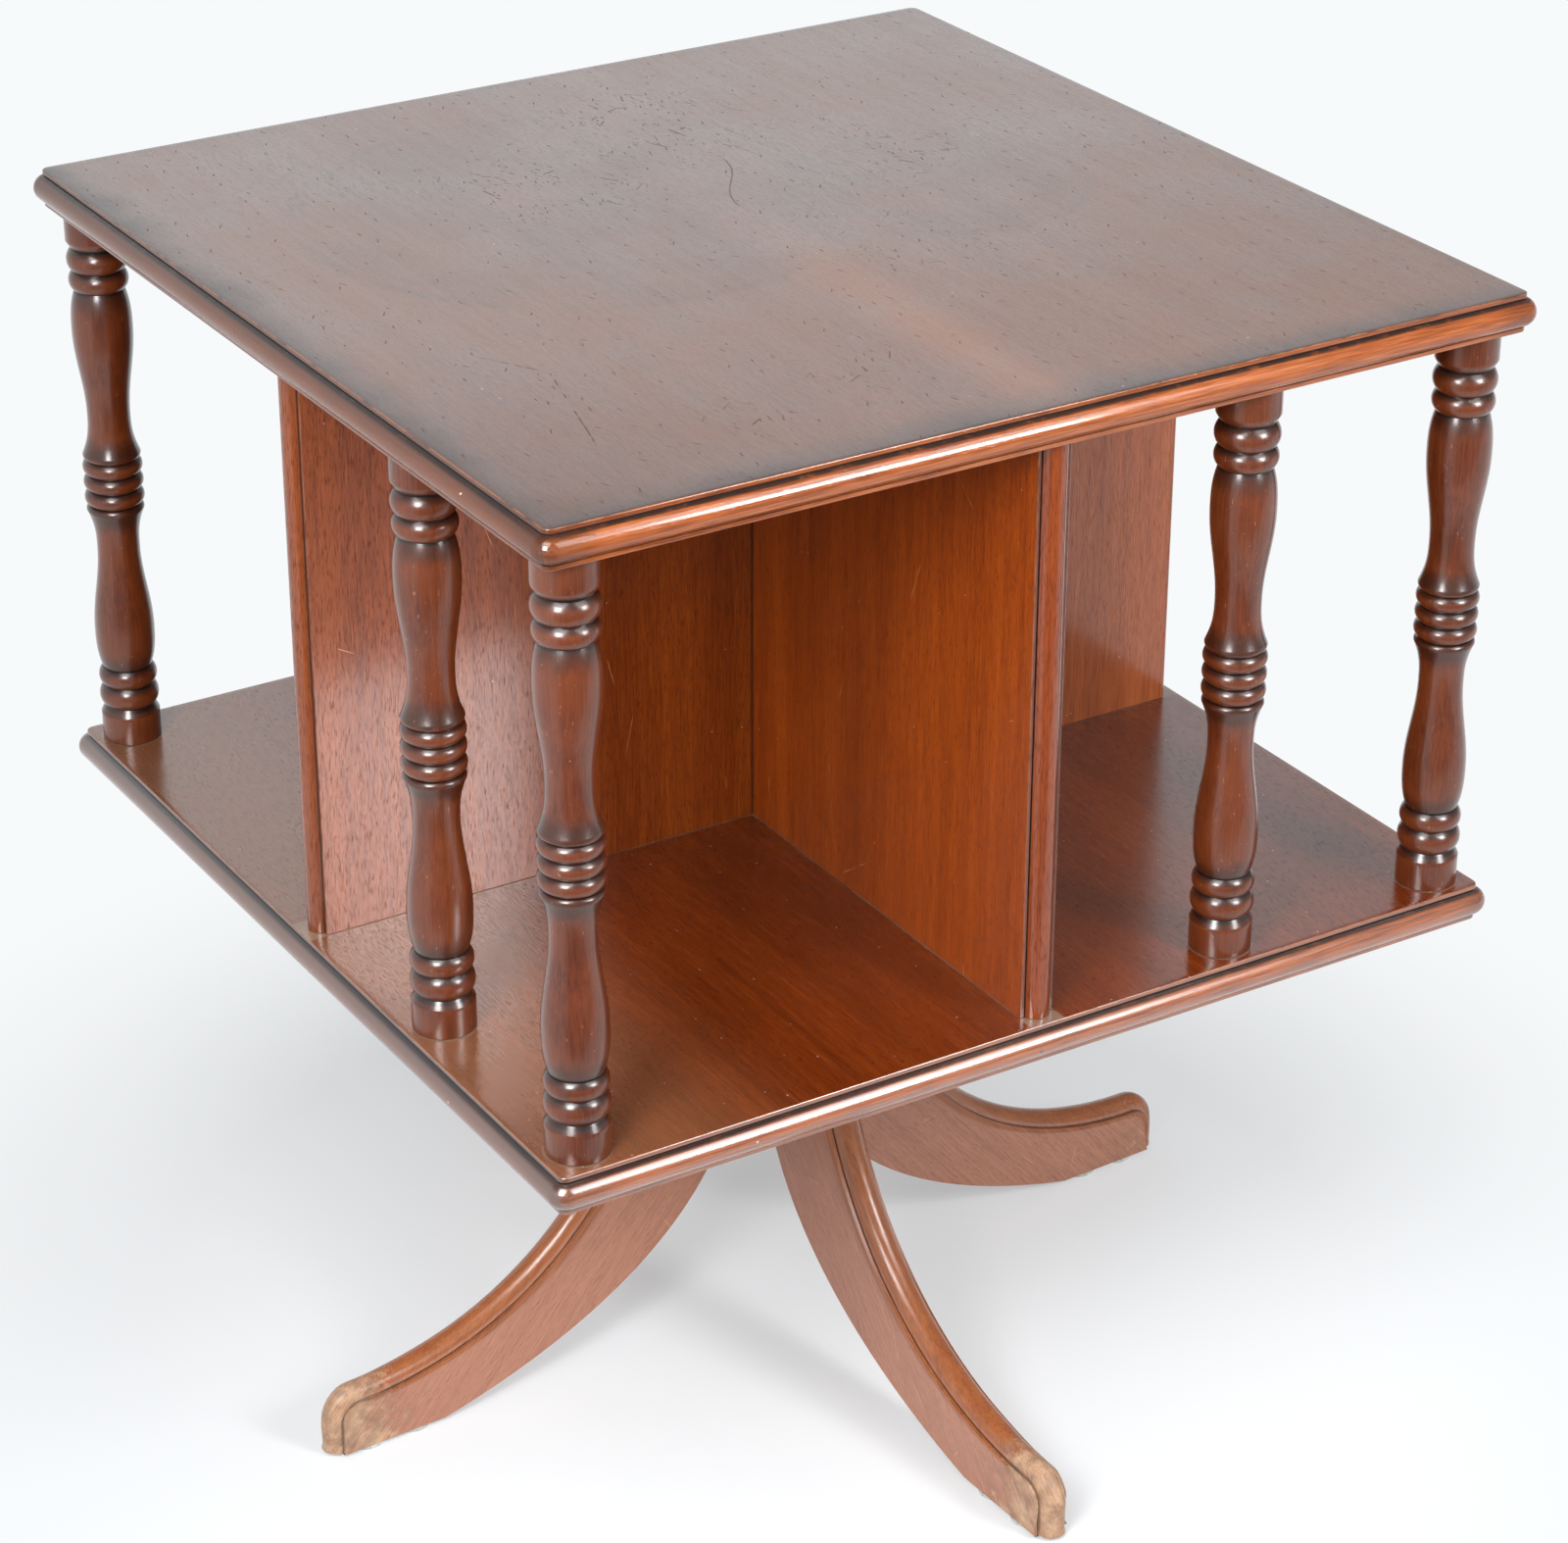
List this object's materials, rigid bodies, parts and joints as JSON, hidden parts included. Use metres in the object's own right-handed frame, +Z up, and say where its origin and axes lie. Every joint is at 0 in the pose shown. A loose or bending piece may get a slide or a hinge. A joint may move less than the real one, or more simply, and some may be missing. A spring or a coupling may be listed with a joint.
{
  "type": "revolving book table",
  "caption": "Square wooden book table: a moulded top and shelf joined by crossed dividers and turned spindles, revolving on a swivel over curved sabre legs.",
  "frame": {"origin": "on the floor, on the swivel's axis, under the middle of the case", "axes": "+Z up along the swivel's axis, +X and +Y square to the case's sides, -Y towards the side on the right of the picture"},
  "size_m": [0.516, 0.516, 0.5842],
  "materials": {
    "mahogany_board": "polished mahogany",
    "mahogany_panel": "satin mahogany",
    "mahogany_turned": "glossy dark mahogany",
    "mahogany_leg": "satin mahogany, worn at the toes",
    "steel": "plain steel",
    "fibre": "dull vulcanised fibre",
    "clear_pad": "translucent grey plastic"
  },
  "bodies": {
    "base": {"hub": "mahogany_leg", "leg_front": "mahogany_leg", "leg_right": "mahogany_leg", "leg_back": "mahogany_leg", "leg_left": "mahogany_leg", "base_plate": "steel", "hub_screw_1": "steel", "hub_screw_2": "steel", "hub_screw_3": "steel", "hub_screw_4": "steel", "thrust_washer": "fibre", "glide_outer_front": "clear_pad", "glide_outer_right": "clear_pad", "glide_outer_back": "clear_pad", "glide_outer_left": "clear_pad", "glide_inner_front": "clear_pad", "glide_inner_right": "clear_pad", "glide_inner_back": "clear_pad", "glide_inner_left": "clear_pad"},
    "case": {"top_board": "mahogany_board", "shelf_board": "mahogany_board", "divider_side_to_side": "mahogany_panel", "divider_front_to_back": "mahogany_panel", "spindle_corner_front": "mahogany_turned", "spindle_corner_right": "mahogany_turned", "spindle_corner_back": "mahogany_turned", "spindle_corner_left": "mahogany_turned", "spindle_rail_front": "mahogany_turned", "spindle_rail_right": "mahogany_turned", "spindle_rail_back": "mahogany_turned", "spindle_rail_left": "mahogany_turned", "swivel_plate": "steel", "shelf_screw_1": "steel", "shelf_screw_2": "steel", "shelf_screw_3": "steel", "shelf_screw_4": "steel", "stud_washer": "steel", "stud_nut": "steel"}
  },
  "joints": [
    {"name": "revolve", "type": "hinge", "parent": "base", "child": "case", "pos_m": [0, 0, 0.2625], "axis": [0, 0, 1], "continuous": true}
  ]
}
